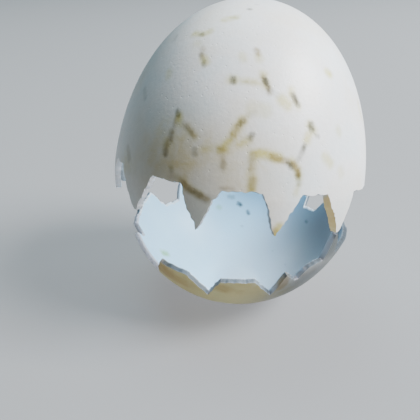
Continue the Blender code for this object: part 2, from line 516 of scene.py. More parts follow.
# Strokes on the front of the upper shell, roughly from the top down.
UPPER_STROKES: tuple[Stroke, ...] = (
    Stroke(OLIVE, 0.75, 0.5, ((-104, 26.5), (-103, 26.5))),
    Stroke(OLIVE, 0.25, 0.4, ((-98, 27.5), (-97, 27.5))),
    Stroke(YELLOW, 0.85, 0.8, ((-119, 24.5), (-111, 25))),
    Stroke(OLIVE, 0.25, 0.5, ((-113, 25), (-111, 25))),
    Stroke(YELLOW, 0.8, 0.9, ((-134, 22), (-127, 22), (-124, 22.5))),
    Stroke(OLIVE, 0.6, 0.5, ((-129, 22), (-127, 22))),
    Stroke(OLIVE, 0.2, 0.8, ((-150, 21.5), (-149, 21))),
    Stroke(YELLOW, 0.3, 1.0, ((-128, 20.5), (-127, 20.5))),
    Stroke(BROWN, 0.55, 0.5, ((-123, 20), (-122, 19.8))),
    Stroke(BROWN, 0.7, 0.6, ((-122, 19.2), (-121, 18.8))),
    Stroke(OLIVE, 0.4, 0.4, ((-122, 19.1), (-121, 18.9))),
    Stroke(YELLOW, 0.9, 1.0, ((-120, 18.5), (-118, 18))),
    Stroke(OLIVE, 0.7, 0.5, ((-119, 18.2), (-118, 17.6))),
    Stroke(BROWN, 0.8, 0.6, ((-94, 20.5), (-93, 20))),
    Stroke(YELLOW, 0.6, 0.8, ((-93, 19.6), (-92, 19.2))),
    Stroke(YELLOW, 0.45, 0.9, ((-101, 19.5), (-100, 19))),
    Stroke(YELLOW, 0.6, 1.1, ((-104, 16), (-102, 16))),
    Stroke(OLIVE, 0.95, 0.66, ((-103, 16.2), (-102.5, 15.8))),
    Stroke(YELLOW, 0.7, 0.7, ((-99, 16), (-92, 16))),
    Stroke(BROWN, 0.3, 0.35, ((-98, 16), (-93, 15.9))),
    Stroke(BROWN, 0.6, 0.5, ((-90, 17), (-89, 16.2), (-87, 15))),
    Stroke(OLIVE, 1.0, 0.62, ((-89, 16.6), (-88, 16))),
    Stroke(YELLOW, 0.7, 0.9, ((-90, 17.2), (-88, 15.6))),
    Stroke(BROWN, 0.8, 0.55, ((-87, 15.4), (-86.6, 14.8))),
    Stroke(OLIVE, 0.9, 0.45, ((-87, 15.3), (-86.8, 15))),
    Stroke(OLIVE, 0.15, 0.5, ((-85, 15), (-83, 14.5))),
    Stroke(YELLOW, 0.75, 1.6, ((-81, 14), (-79, 13.5))),
    Stroke(YELLOW, 0.8, 0.8, ((-77, 15.6), (-76, 14.8))),
    Stroke(BROWN, 0.5, 0.5, ((-76.5, 15), (-75, 14))),
    Stroke(OLIVE, 1.0, 0.5, ((-76, 14.8), (-74, 13.6))),
    Stroke(YELLOW, 0.7, 0.9, ((-77, 15), (-74, 13.4))),
    Stroke(YELLOW, 1.0, 1.1, ((-54, 18.5), (-53, 18.3))),
    Stroke(YELLOW, 0.35, 2.0, ((-93, 12.6), (-88, 12.4))),
    Stroke(OLIVE, 0.18, 0.7, ((-94, 11.6), (-92, 12))),
    Stroke(YELLOW, 0.4, 1.0, ((-137, 16), (-136, 15.5))),
    Stroke(OLIVE, 0.68, 0.6, ((-124, 10.9), (-123.4, 10.3))),
    Stroke(YELLOW, 0.8, 0.9, ((-123, 10.2), (-122, 9.2))),
    Stroke(BROWN, 0.5, 0.5, ((-124, 9.8), (-124, 8.4))),
    Stroke(OLIVE, 0.35, 0.45, ((-124.6, 7.8), (-124.2, 6.8))),
    Stroke(BROWN, 0.5, 0.8, ((-124.6, 8), (-124.4, 6.6), (-126, 5.6), (-125.6, 4.6))),
    Stroke(YELLOW, 0.4, 1.0, ((-126.4, 6.0), (-125.8, 5.4))),
    Stroke(OLIVE, 0.5, 0.5, ((-125.4, 5), (-125.2, 4.5))),
    Stroke(BROWN, 0.58, 0.65, ((-119.6, 9.2), (-117, 8.6), (-114.4, 7.8))),
    Stroke(YELLOW, 0.4, 0.9, ((-116.6, 8.4), (-113.8, 7.7))),
    Stroke(OLIVE, 0.28, 0.45, ((-118.4, 8.9), (-115.6, 8.3))),
    Stroke(OLIVE, 0.45, 0.75, ((-113, 5.9), (-112.8, 5.4))),
    Stroke(YELLOW, 0.6, 0.9, ((-110, 6.1), (-107, 6.4))),
    Stroke(OLIVE, 0.35, 0.6, ((-122, 2.7), (-121.6, 2.4))),
    Stroke(YELLOW, 0.3, 0.6, ((-122, 4.2), (-121.6, 3))),
    Stroke(YELLOW, 0.55, 0.6, ((-93, 12), (-96, 11))),
    Stroke(BROWN, 0.55, 0.7, ((-96, 10.8), (-98, 9.7), (-99.4, 8.6))),
    Stroke(YELLOW, 0.9, 1.1, ((-96.4, 10.8), (-98.4, 9.5))),
    Stroke(OLIVE, 0.7, 0.5, ((-96.4, 10.7), (-97.8, 9.9))),
    Stroke(YELLOW, 0.9, 1.0, ((-99, 9), (-100, 8), (-102, 7))),
    Stroke(BROWN, 0.45, 0.6, ((-103.6, 6.6), (-102.4, 6.5))),
    Stroke(YELLOW, 0.9, 1.0, ((-104, 6.5), (-101.6, 6.5))),
    Stroke(OLIVE, 0.78, 0.6, ((-92, 9), (-92.8, 8.5))),
    Stroke(YELLOW, 0.8, 0.8, ((-93.4, 8.2), (-96.4, 7.5))),
    Stroke(BROWN, 0.4, 0.75, ((-102, 5.5), (-101.2, 4))),
    Stroke(OLIVE, 0.3, 0.6, ((-101.5, 4.7), (-101.3, 4.2))),
    Stroke(BROWN, 0.5, 0.35, ((-101, 1.15), (-97, 1.3))),
    Stroke(YELLOW, 1.0, 1.25, ((-91, 6.2), (-88, 6.6), (-85, 6.4), (-81, 6.1))),
    Stroke(BROWN, 0.75, 0.7, ((-84, 6.3), (-81, 6.0), (-78, 5.9))),
    Stroke(OLIVE, 0.95, 0.5, ((-77.4, 5.6), (-76, 5))),
    Stroke(BROWN, 1.0, 0.75, ((-75.4, 5.4), (-73.6, 4.8), (-73, 4.0))),
    Stroke(YELLOW, 0.8, 1.0, ((-76.4, 5.8), (-73.6, 4.8), (-72.6, 3.6))),
    Stroke(OLIVE, 0.4, 0.5, ((-73, 4), (-72.2, 2.6))),
    Stroke(YELLOW, 0.6, 0.5, ((-72.4, 2.6), (-73, 1.3))),
    Stroke(BROWN, 0.5, 0.8, ((-91, 6.3), (-91.2, 5.4), (-91, 4.4))),
    Stroke(YELLOW, 0.45, 1.1, ((-91, 6), (-91, 4), (-90, 2))),
    Stroke(BROWN, 0.48, 0.9, ((-90.2, 2.9), (-90.2, 1.7))),
    Stroke(YELLOW, 1.0, 1.1, ((-90.2, 3), (-90.2, 1.5))),
    Stroke(OLIVE, 1.0, 0.8, ((-68, 11.1), (-67.8, 10.4))),
    Stroke(YELLOW, 0.7, 1.2, ((-68.6, 11), (-67.2, 10.2))),
    Stroke(OLIVE, 0.8, 0.4, ((-65, 9.6), (-64.7, 9.4))),
    Stroke(YELLOW, 0.8, 0.9, ((-68, 10.8), (-70, 8.8))),
    Stroke(OLIVE, 0.9, 0.55, ((-71, 8.1), (-71.6, 7.5))),
    Stroke(OLIVE, 0.4, 0.6, ((-71.8, 7.2), (-73.6, 6))),
    Stroke(YELLOW, 0.5, 0.9, ((-53, 10.5), (-52.6, 10))),
    Stroke(YELLOW, 0.6, 1.3, ((-61, 6.6), (-58, 5.6))),
    Stroke(YELLOW, 0.35, 1.2, ((-52, 4.6), (-51, 4))),
    Stroke(BROWN, 0.28, 0.7, ((-121, 1.5), (-117, 1.4))),
    Stroke(YELLOW, 0.4, 1.2, ((-118, 1.5), (-114, 0.5), (-109.6, -0.2))),
    Stroke(BROWN, 0.78, 0.9, ((-115.8, 0.9), (-114, 0.4), (-110, -0.2), (-106, -0.8))),
    Stroke(OLIVE, 0.26, 0.6, ((-113, 0.3), (-109, -0.2))),
    Stroke(BROWN, 0.22, 0.8, ((-80, -4.4), (-78.6, -5.3))),
    Stroke(YELLOW, 1.0, 1.0, ((-77.6, -3.8), (-78.6, -5.2))),
    Stroke(OLIVE, 0.2, 0.8, ((-151, 13), (-147, 11.8))),
    Stroke(BROWN, 0.3, 1.0, ((-150, 3.6), (-147, 2.2))),
)

# Specks on the membrane of the lower shell.
LOWER_SPECKS: tuple[Stroke, ...] = (
    Stroke(BROWN, 0.6, 0.7, ((93, 11.4), (90, 11.3))),
    Stroke(OLIVE, 1.0, 0.7, ((86, 10.1), (84, 9.8))),
    Stroke(OLIVE, 1.0, 0.6, ((78, 8.7), (77, 8.3))),
    Stroke(YELLOW, 0.7, 0.7, ((102, 9.5), (101, 9.4))),
    Stroke(OLIVE, 0.6, 0.5, ((82, 6.0), (81, 5.9))),
    Stroke(OLIVE, 0.9, 0.5, ((37, 3.7), (36, 3.8))),
    Stroke(OLIVE, 0.8, 0.5, ((6, 3.6), (4, 3.8))),
    Stroke(OLIVE, 0.9, 0.6, ((-13, 6.6), (-14, 6.9))),
    Stroke(OLIVE, 0.6, 0.45, ((27, 10.4), (26, 10.4))),
    Stroke(YELLOW, 1.0, 1.3, ((182, 7.6), (178, 6.8))),
    Stroke(OLIVE, 0.3, 0.5, ((181, 7.3), (180, 7.1))),
)

# Stain on the outside, on the lower and the upper piece, with soiling and painted shade: on the
# lower piece the dark grey soiling-and-shade patches are painted shade over its front-right side
# and right rim; on the upper piece they glaze the front tan.
LOWER_PATCHES: tuple[Patch, ...] = (
    Patch(PatchKind.KHAKI, 1.0, -120.0, 10.0, 11.0, 9.5),
    Patch(PatchKind.KHAKI, 1.0, -94.0, 10.0, 9.0, 8.0),
    Patch(PatchKind.KHAKI, 0.55, -70.0, 9.5, 6.0, 5.0),
    # painted shade: dark grey glaze over the lower piece's front-right side and right rim, which lie in
    # shade
    Patch(PatchKind.SOIL_AND_PAINTED_SHADE, 0.95, -47.0, 10.5, 12.0, 9.5),
    Patch(PatchKind.SOIL_AND_PAINTED_SHADE, 1.0, -44.0, 20.0, 7.0, 9.0),
    Patch(PatchKind.SOIL_AND_PAINTED_SHADE, 1.0, -28.0, 15.5, 11.0, 4.5),
    Patch(PatchKind.SOIL_AND_PAINTED_SHADE, 0.65, 8.0, 16.0, 15.0, 3.5),
    Patch(PatchKind.RUST, 0.9, -133.0, 13.5, 3.6, 3.2),
    Patch(PatchKind.RUST, 0.5, -123.0, 12.0, 4.5, 2.6),
    Patch(PatchKind.RUST, 0.6, -99.5, 12.6, 2.4, 1.9),
    Patch(PatchKind.RUST, 0.35, -90.0, 11.6, 2.0, 1.2),
    Patch(PatchKind.RUST, 1.0, -70.0, 13.4, 1.2, 2.6),
    Patch(PatchKind.RUST, 0.35, -56.0, 14.0, 2.0, 1.6),
    Patch(PatchKind.KHAKI, 0.7, 40.0, 8.0, 9.0, 6.0),
    Patch(PatchKind.KHAKI, 0.6, 98.0, 10.0, 8.0, 5.0),
    Patch(PatchKind.RUST, 0.5, 60.0, 9.0, 3.0, 2.4),
    Patch(PatchKind.KHAKI, 0.8, 165.0, 9.0, 9.0, 7.0),
    Patch(PatchKind.RUST, 0.6, 158.0, 11.5, 3.0, 2.2),
)

UPPER_PATCHES: tuple[Patch, ...] = (
    Patch(PatchKind.KHAKI, 0.36, -121.0, 5.0, 7.0, 6.0),
    Patch(PatchKind.KHAKI, 0.2, -98.0, 5.0, 6.0, 5.0),
    Patch(PatchKind.SOIL_AND_PAINTED_SHADE, 0.48, -113.0, 1.0, 17.0, 12.0),
    Patch(PatchKind.SOIL_AND_PAINTED_SHADE, 0.2, -46.0, -3.0, 10.0, 8.0),
    Patch(PatchKind.RUST, 0.25, -119.0, 1.6, 2.2, 1.0),
    Patch(PatchKind.RUST, 0.4, -79.0, -4.9, 1.1, 1.2),
    Patch(PatchKind.KHAKI, 0.3, -150.0, 1.0, 4.0, 3.0),
    Patch(PatchKind.KHAKI, 0.35, 60.0, 3.0, 6.0, 3.0),
    Patch(PatchKind.KHAKI, 0.3, 140.0, 6.0, 7.0, 4.0),
)

# Painted shade on the membrane, on the lower and the upper piece: a warm grey wash and a
# darker glaze on the walls that lie in shade.
LOWER_MEMBRANE_SHADE: tuple[Patch, ...] = (
    Patch(PatchKind.SOIL_AND_PAINTED_SHADE, 0.7, -22.0, 17.0, 9.0, 5.0),
    Patch(PatchKind.PAINTED_SHADE_WASH, 1.0, -10.0, 10.0, 20.0, 10.0),
    Patch(PatchKind.SOIL_AND_PAINTED_SHADE, 1.0, 2.0, 14.0, 12.0, 8.0),
    Patch(PatchKind.SOIL_AND_PAINTED_SHADE, 0.3, 70.0, 15.0, 14.0, 5.0),
)
UPPER_MEMBRANE_SHADE: tuple[Patch, ...] = (
    Patch(PatchKind.PAINTED_SHADE_WASH, 1.0, 35.0, -2.0, 16.0, 9.0),
    Patch(PatchKind.SOIL_AND_PAINTED_SHADE, 1.0, 35.0, -2.0, 16.0, 9.0),
)


@dataclass(frozen=True)
class StrayMarks:
    """Seeded strokes for the parts of the shell that no named stroke covers."""

    count: int
    azimuths: Span
    heights: Span
    seed: int
    longest: int = 4
    bend: float = 0.6
    stride_round: float = 2.2
    stride_up: float = 0.9
    strength: Span = (0.35, 0.9)
    width: Span = (0.45, 0.95)
    knot_strength: Span = (0.3, 0.9)
    knot_width: float = 0.5
    halo_strength: float = 0.7
    halo_width: float = 1.0

    def strokes(self) -> list[Stroke]:
        """Make the strokes.

        Returns:
            Strokes that wander a few millimetres each, some with a darker knot.
        """
        rng = random.Random(self.seed)
        made: list[Stroke] = []
        for _ in range(self.count):
            turn, level = rng.uniform(*self.azimuths), rng.uniform(*self.heights)
            heading = rng.uniform(0.0, 2.0 * math.pi)
            path = [(turn, level)]
            for _ in range(rng.randint(1, self.longest)):
                heading += rng.uniform(-self.bend, self.bend)
                turn += self.stride_round * math.cos(heading)
                level += self.stride_up * math.sin(heading)
                path.append((turn, level))
            stain = rng.choice((YELLOW, YELLOW, BROWN, BROWN, OLIVE))
            depth = rng.uniform(*self.strength)
            made.append(Stroke(stain, depth, rng.uniform(*self.width), tuple(path)))
            if stain is BROWN:
                made.append(Stroke(YELLOW, self.halo_strength, self.halo_width, tuple(path)))
                knot = rng.uniform(*self.knot_strength)
                made.append(Stroke(OLIVE, knot, self.knot_width, tuple(path[:2])))
        return made


class MarkField:
    """Distances from points on a wall to the strokes and patches on it, in millimetres.

    REACH is the farthest distance told, BLEND how softly neighbouring strokes' depths meet,
    SPOTS the number of spots that stand for one leg of a stroke, BATCH the number of points
    worked on at once.  FULL and GONE are the shares of a patch's reach within which it is
    whole and past which nothing is left of it.
    """

    REACH = 3.0
    BLEND = 0.25
    SPOTS = 12
    BATCH = 4000
    FULL = 0.3
    GONE = 1.3

    def __init__(
        self, form: EggForm, zero: float, strokes: Sequence[Stroke], patches: Sequence[Patch], inside: bool
    ) -> None:
        """Lay the marks out on the wall.

        Args:
            form: the egg.
            zero: depth below the widest section that the marks' heights start from.
            strokes: strokes to lay out.
            patches: patches to lay out.
            inside: True for marks on the membrane.
        """
        self.zero = zero
        self.patches = patches
        self.spots: dict[Stain, tuple[np.ndarray, np.ndarray, np.ndarray]] = {}
        for stain in Stain:
            rows: list[tuple[float, ...]] = []
            for stroke in (one for one in strokes if one.stain is stain):
                for first, second in zip(stroke.path[:-1], stroke.path[1:]):
                    for share in np.linspace(0.0, 1.0, self.SPOTS):
                        turn, level = (a + (b - a) * share for a, b in zip(first, second))
                        rows.append((turn, level - zero, stroke.width / 2.0, stroke.depth))
            turns, levels, halves, depths = np.array(rows).reshape(-1, 4).T
            turns = np.radians(turns)
            radius = form.radius_at(levels) - (form.wall if inside else 0.0)
            places = np.column_stack((radius * np.cos(turns), radius * np.sin(turns), levels))
            self.spots[stain] = (places, halves, depths)

    def strokes_at(self, points: np.ndarray) -> tuple[np.ndarray, np.ndarray]:
        """How far each point lies past the strokes of each kind, and how dark they are there.

        Args:
            points: points in millimetres.

        Returns:
            Gaps in millimetres and depths from 0 to 1, one column for each kind.
        """
        gaps = np.full((len(points), len(Stain)), self.REACH)
        depths = np.zeros((len(points), len(Stain)))
        for stain, (places, halves, shades) in self.spots.items():
            if not len(places):
                continue
            for start in range(0, len(points), self.BATCH):
                rows = slice(start, start + self.BATCH)
                apart = np.linalg.norm(points[rows][:, None, :] - places[None, :, :], axis=2) - halves
                nearest = apart.min(axis=1)
                share = np.exp(-(apart - nearest[:, None]) / self.BLEND)
                gaps[rows, stain.value] = np.minimum(nearest, self.REACH)
                depths[rows, stain.value] = (share * shades).sum(axis=1) / share.sum(axis=1)
        return gaps, depths

    def tints_at(self, points: np.ndarray) -> np.ndarray:
        """How strongly the patches of each kind tint each point.

        Args:
            points: points in millimetres.

        Returns:
            Strengths from 0 to 1, one column for each kind.
        """
        strengths = np.zeros((len(points), len(PatchKind)))
        azimuth = np.degrees(np.arctan2(points[:, 1], points[:, 0]))
        girth = np.hypot(points[:, 0], points[:, 1])
        for patch in self.patches:
            turn = (azimuth - patch.azimuth + 180.0) % 360.0 - 180.0
            across = np.radians(turn) * girth / patch.across
            up = (points[:, 2] + self.zero - patch.height) / patch.up
            tinted = patch.depth * (1.0 - smooth_step(self.FULL, self.GONE, np.hypot(across, up)))
            column = patch.tint.value
            strengths[:, column] = np.maximum(strengths[:, column], tinted)
        return strengths


# --------------------------------------------------------------------------------------------
# Finishes
# --------------------------------------------------------------------------------------------
COVER = {"data_type": "RGBA", "blend_type": "MIX"}
GLAZE = {"data_type": "RGBA", "blend_type": "MULTIPLY"}
EASED = {"interpolation_type": "SMOOTHSTEP"}
TIMES = {"operation": "MULTIPLY"}
TIMES_PLUS = {"operation": "MULTIPLY_ADD"}
LARGER = {"operation": "MAXIMUM"}


@dataclass(frozen=True)
class Noise:
    """A noise: millimetres between its features, finer layers, their weight and its distortion."""

    size: float
    layers: float
    weight: float
    distortion: float = 0.0

    def inputs(self, place: Socket) -> dict[str, Any]:
        """What a noise with these features is fed at a place."""
        inputs = {"Vector": place, "Scale": per_mm(self.size), "Detail": self.layers}
        return inputs | {"Roughness": self.weight, "Distortion": self.distortion}


@dataclass(frozen=True)
class Finish:
    """What every finish of the shell starts from."""

    name: str

    def start(self) -> tuple[bpy.types.Material, bpy.types.NodeTree, Socket]:
        """Make an empty material with its place on the object.

        Returns:
            The material, its node tree and the socket of object coordinates.
        """
        material = bpy.data.materials.new(self.name)
        material.use_nodes = True
        tree = material.node_tree
        tree.nodes.clear()
        return material, tree, add_node(tree, "ShaderNodeTexCoord").outputs["Object"]

    def columns(self, tree: bpy.types.NodeTree, name: str) -> Sequence[Socket]:
        """The three columns of a field that is stored on the mesh's points."""
        stored = add_node(tree, "ShaderNodeAttribute", {"attribute_name": name})
        return add_node(tree, "ShaderNodeSeparateXYZ", inputs={0: stored.outputs["Vector"]}).outputs


@dataclass(frozen=True)
class StainedFinish(Finish):
    """What the two faces of the wall share: a faint glow and strokes of stain in three colours.

    A stroke's edge is soft over some tenths of a millimetre and wanders a little; thin spots
    let through more of what lies below.  Lengths are in millimetres.
    """

    yellow: str = "#DDD583"
    brown: str = "#A08C50"
    olive: str = "#66654A"
    stroke_noise: Noise = Noise(0.9, 4.0, 0.65)
    wander: float = 0.16
    spread: float = 0.1
    softness: tuple[float, float, float] = (0.6, 0.42, 0.34)
    thin_spots: Span = (0.36, 0.6)
    thinnest: float = 0.8
    ior: float = 1.52
    glow: float = 0.1
    glow_colour: tuple[float, float, float] = (1.0, 0.95, 0.85)
    glow_reach: float = 0.6

    def stroke_masks(self, tree: bpy.types.NodeTree, place: Socket) -> dict[Stain, Socket]:
        """Ragged masks of the strokes of each kind.

        Args:
            tree: node tree.
            place: object coordinates.

        Returns:
            A socket from 0 to 1 for each kind.
        """
        gaps, depths = self.columns(tree, "stroke_gap"), self.columns(tree, "stroke_depth")
        noise = add_node(tree, "ShaderNodeTexNoise", inputs=self.stroke_noise.inputs(place))
        inputs = {0: noise.outputs["Fac"], 1: self.thin_spots[0], 2: self.thin_spots[1]}
        thin = add_node(tree, "ShaderNodeMapRange", inputs=inputs | {3: self.thinnest, 4: 1.0})
        middle = self.spread - self.wander
        masks: dict[Stain, Socket] = {}
        for stain, soft in zip(Stain, self.softness):
            inputs = {0: noise.outputs["Fac"], 1: -2.0 * self.wander, 2: gaps[stain.value]}
            shifted = add_node(tree, "ShaderNodeMath", TIMES_PLUS, inputs)
            inputs = {0: shifted.outputs[0], 1: middle + soft, 2: middle - soft, 3: 0.0, 4: 1.0}
            edge = add_node(tree, "ShaderNodeMapRange", EASED, inputs)
            deep = add_node(tree, "ShaderNodeMath", TIMES, {0: edge.outputs[0], 1: depths[stain.value]})
            uneven = add_node(tree, "ShaderNodeMath", TIMES, {0: deep.outputs[0], 1: thin.outputs[0]})
            masks[stain] = uneven.outputs[0]
        return masks

    def stained(self, tree: bpy.types.NodeTree, colour: Socket, masks: dict[Stain, Socket]) -> Socket:
        """Glaze a colour with the strokes, from the palest kind to the darkest.

        Args:
            tree: node tree.
            colour: colour below.
            masks: where the strokes of each kind lie.

        Returns:
            Colour socket.
        """
        for stain, code in zip(Stain, (self.yellow, self.brown, self.olive)):
            inputs = {0: masks[stain], 6: colour, 7: linear(code)}
            colour = add_node(tree, "ShaderNodeMix", GLAZE, inputs).outputs[2]
        return colour

    def gloss_and_glow(self) -> dict[str, Any]:
        """What the surface is fed for its gloss and for the faint glow from inside the wall."""
        glow = {"Subsurface Weight": self.glow, "Subsurface Radius": self.glow_colour}
        return {"IOR": self.ior, "Subsurface Scale": self.glow_reach * MM} | glow


@dataclass(frozen=True)
class ShellOutside(StainedFinish):
    """White hen's eggshell, outside: chalky calcite under a thin dried cuticle.

    The cuticle gives a soft satin gloss, the grains and pores of calcite a fine orange peel,
    and stain has dried on it: yellow smears, brown strokes and olive knots over khaki patches.
    Grains and pores are drawn a little coarser than real ones, so that they show.
    """

    white: str = "#E3E5E5"
    cool_white: str = "#DBE3E6"
    warm_white: str = "#E3E1DA"
    cloud: Noise = Noise(9.0, 3.0, 0.55)
    cloud_stops: tuple[float, float, float] = (0.32, 0.5, 0.7)
    flecks: Noise = Noise(0.8, 4.0, 0.65)
    fleck_range: Span = (0.3, 0.75)
    fleck_shade: float = 0.92
    # soiling and painted shade: a tan glaze on the upper piece; the lower piece swaps in a dark grey of
    # painted shade
    soil_and_painted_shade: str = "#BEB085"
    khaki: str = "#ECD96F"
    khaki_strength: float = 0.8
    rust: str = "#CBA65C"
    rust_strength: float = 0.7
    blotches: Noise = Noise(2.4, 5.0, 0.6, 0.5)
    blotch_weight: float = 0.9
    blotch_range: Span = (0.5, 1.35)
    patch_edge: float = 0.12
    roughness: float = 0.42
    dried_roughness: float = 0.62
    grain: Noise = Noise(0.5, 3.0, 0.6)
    grain_depth: float = 0.03
    pore_size: float = 1.1
    pore_range: Span = (0.04, 0.16)
    pore_depth: float = 0.04
    crust_depth: float = 0.05
    pore_and_crust_strength: float = 0.7

    def build(self) -> bpy.types.Material:
        """Make the material.

        Returns:
            The finished material.
        """
        material, tree, place = self.start()
        masks = self.stroke_masks(tree, place)
        colour = self._tinted(tree, place, self._ground(tree, place))
        dried = add_node(tree, "ShaderNodeMath", LARGER, {0: masks[BROWN], 1: masks[OLIVE]}).outputs[0]
        inputs = {0: dried, 1: 0.0, 2: 1.0, 3: self.roughness, 4: self.dried_roughness}
        rough = add_node(tree, "ShaderNodeMapRange", inputs=inputs)
        inputs = {
            "Base Color": self.stained(tree, colour, masks),
            "Roughness": rough.outputs[0],
            "Normal": self._relief(tree, place, dried),
        }
        shader = add_node(tree, "ShaderNodeBsdfPrincipled", inputs=inputs | self.gloss_and_glow())
        add_node(tree, "ShaderNodeOutputMaterial", inputs={"Surface": shader.outputs[0]})
        return material

    def _ground(self, tree: bpy.types.NodeTree, place: Socket) -> Socket:
        """Clouded white of the clean shell, with faint grey flecks in it.

        Args:
            tree: node tree.
            place: object coordinates.

        Returns:
            Colour socket.
        """
        cloud = add_node(tree, "ShaderNodeTexNoise", inputs=self.cloud.inputs(place))
        shades = add_node(tree, "ShaderNodeValToRGB", inputs={"Fac": cloud.outputs["Fac"]})
        whites = (self.cool_white, self.white, self.warm_white)
        set_stops(shades.color_ramp, tuple(zip(self.cloud_stops, whites)))
        flecks = add_node(tree, "ShaderNodeTexNoise", inputs=self.flecks.inputs(place))
        inputs = {0: flecks.outputs["Fac"], 1: self.fleck_range[0], 2: self.fleck_range[1]}
        shade = add_node(tree, "ShaderNodeMapRange", inputs=inputs | {3: 1.0, 4: self.fleck_shade})
        inputs = {0: 1.0, 6: shades.outputs["Color"], 7: shade.outputs[0]}
        return add_node(tree, "ShaderNodeMix", GLAZE, inputs).outputs[2]

    def _tinted(self, tree: bpy.types.NodeTree, place: Socket, colour: Socket) -> Socket:
        """Soiling and painted shade glazed on evenly, then khaki and rust patches, uneven inside and
        ragged at their edges.

        Args:
            tree: node tree.
            place: object coordinates.
            colour: colour so far.

        Returns:
            Colour socket.
        """
        tints = self.columns(tree, "tint")
        blotches = add_node(tree, "ShaderNodeTexNoise", inputs=self.blotches.inputs(place))
        # glaze of soiling and painted shade: dark grey painted shade on the lower piece's front-right side
        inputs = {0: tints[PatchKind.SOIL_AND_PAINTED_SHADE.value], 6: colour, 7: linear(self.soil_and_painted_shade)}
        colour = add_node(tree, "ShaderNodeMix", GLAZE, inputs).outputs[2]
        khaki = (PatchKind.KHAKI, self.khaki, self.khaki_strength)
        rust = (PatchKind.RUST, self.rust, self.rust_strength)
        low, high = self.blotch_range
        for kind, code, strength in (khaki, rust):
            tinted = tints[kind.value]
            inputs = {0: blotches.outputs["Fac"], 1: self.blotch_weight, 2: tinted}
            uneven = add_node(tree, "ShaderNodeMath", TIMES_PLUS, inputs)
            inputs = {0: uneven.outputs[0], 1: low, 2: high, 3: 0.0, 4: strength}
            gate = add_node(tree, "ShaderNodeMapRange", EASED, inputs)
            inputs = {0: tinted, 1: 0.0, 2: self.patch_edge, 3: 0.0, 4: 1.0}
            held = add_node(tree, "ShaderNodeMapRange", inputs=inputs)
            amount = add_node(tree, "ShaderNodeMath", TIMES, {0: gate.outputs[0], 1: held.outputs[0]})
            inputs = {0: amount.outputs[0], 6: colour, 7: linear(code)}
            colour = add_node(tree, "ShaderNodeMix", GLAZE, inputs).outputs[2]
        return colour

    def _relief(self, tree: bpy.types.NodeTree, place: Socket, dried: Socket) -> Socket:
        """Orange peel and pores of the calcite, and the crust of the stain dried on them.

        Args:
            tree: node tree.
            place: object coordinates.
            dried: where the stain lies thick.

        Returns:
            Normal socket.
        """
        grain = add_node(tree, "ShaderNodeTexNoise", inputs=self.grain.inputs(place))
        inputs = {"Vector": place, "Scale": per_mm(self.pore_size), "Randomness": 1.0}
        pore = add_node(tree, "ShaderNodeTexVoronoi", inputs=inputs)
        inputs = {0: pore.outputs["Distance"], 1: self.pore_range[0], 2: self.pore_range[1]}
        pit = add_node(tree, "ShaderNodeMapRange", EASED, inputs | {3: 0.0, 4: 1.0})
        strength = self.pore_and_crust_strength
        inputs = {"Height": grain.outputs["Fac"], "Distance": self.grain_depth * MM, "Strength": 1.0}
        peel = add_node(tree, "ShaderNodeBump", inputs=inputs)
        inputs = {"Height": pit.outputs[0], "Distance": self.pore_depth * MM, "Strength": strength}
        pitted = add_node(tree, "ShaderNodeBump", inputs=inputs | {"Normal": peel.outputs[0]})
        inputs = {"Height": dried, "Distance": self.crust_depth * MM, "Strength": strength}
        crust = add_node(tree, "ShaderNodeBump", inputs=inputs | {"Normal": pitted.outputs[0]})
        return crust.outputs[0]


@dataclass(frozen=True)
class ShellMembrane(StainedFinish):
    """Shell membrane, inside: a web of protein fibres dried onto the shell.

    It looks a cooler, bluer white than the shell, with a faint satin gloss, a fibrous
    unevenness and a few dried specks.  On walls that lie in shade, painted shade greys it
    with a warm wash and darkens it with a glaze.
    The web is drawn far coarser than the real one, so that it shows.
    """

    white: str = "#C4EBFC"
    pale_blue: str = "#ACDCF5"
    cloud: Noise = Noise(6.0, 4.0, 0.55)
    # painted shade: a warm grey wash and a darker glaze for membrane walls in shade
    painted_shade_wash: str = "#C1B4AE"
    soil_and_painted_shade: str = "#BAB0B0"
    yellow: str = "#CFDA8C"
    brown: str = "#86795A"
    olive: str = "#464C48"
    stroke_noise: Noise = Noise(0.6, 4.0, 0.65)
    wander: float = 0.12
    roughness: float = 0.4
    ior: float = 1.48
    glow_colour: tuple[float, float, float] = (0.95, 1.0, 1.0)
    web: Noise = Noise(0.9, 6.0, 0.7, 1.2)
    web_depth: float = 0.04
    web_strength: float = 0.8

    def build(self) -> bpy.types.Material:
        """Make the material.

        Returns:
            The finished material.
        """
        material, tree, place = self.start()
        cloud = add_node(tree, "ShaderNodeTexNoise", inputs=self.cloud.inputs(place))
        inputs = {0: cloud.outputs["Fac"], 6: linear(self.pale_blue), 7: linear(self.white)}
        clean = add_node(tree, "ShaderNodeMix", COVER, inputs)
        # painted shade: walls in shade get the warm grey wash, then the darker glaze
        tints = self.columns(tree, "tint")
        inputs = {0: tints[PatchKind.PAINTED_SHADE_WASH.value], 6: clean.outputs[2], 7: linear(self.painted_shade_wash)}
        shade_washed = add_node(tree, "ShaderNodeMix", COVER, inputs)
        inputs = {0: tints[PatchKind.SOIL_AND_PAINTED_SHADE.value], 6: shade_washed.outputs[2], 7: linear(self.soil_and_painted_shade)}
        shade_glazed = add_node(tree, "ShaderNodeMix", GLAZE, inputs)
        web = add_node(tree, "ShaderNodeTexNoise", inputs=self.web.inputs(place))
        inputs = {"Height": web.outputs["Fac"], "Distance": self.web_depth * MM}
        fibres = add_node(tree, "ShaderNodeBump", inputs=inputs | {"Strength": self.web_strength})
        inputs = {
            "Base Color": self.stained(tree, shade_glazed.outputs[2], self.stroke_masks(tree, place)),
            "Roughness": self.roughness,
            "Normal": fibres.outputs[0],
        }
        shader = add_node(tree, "ShaderNodeBsdfPrincipled", inputs=inputs | self.gloss_and_glow())
        add_node(tree, "ShaderNodeOutputMaterial", inputs={"Surface": shader.outputs[0]})
        return material


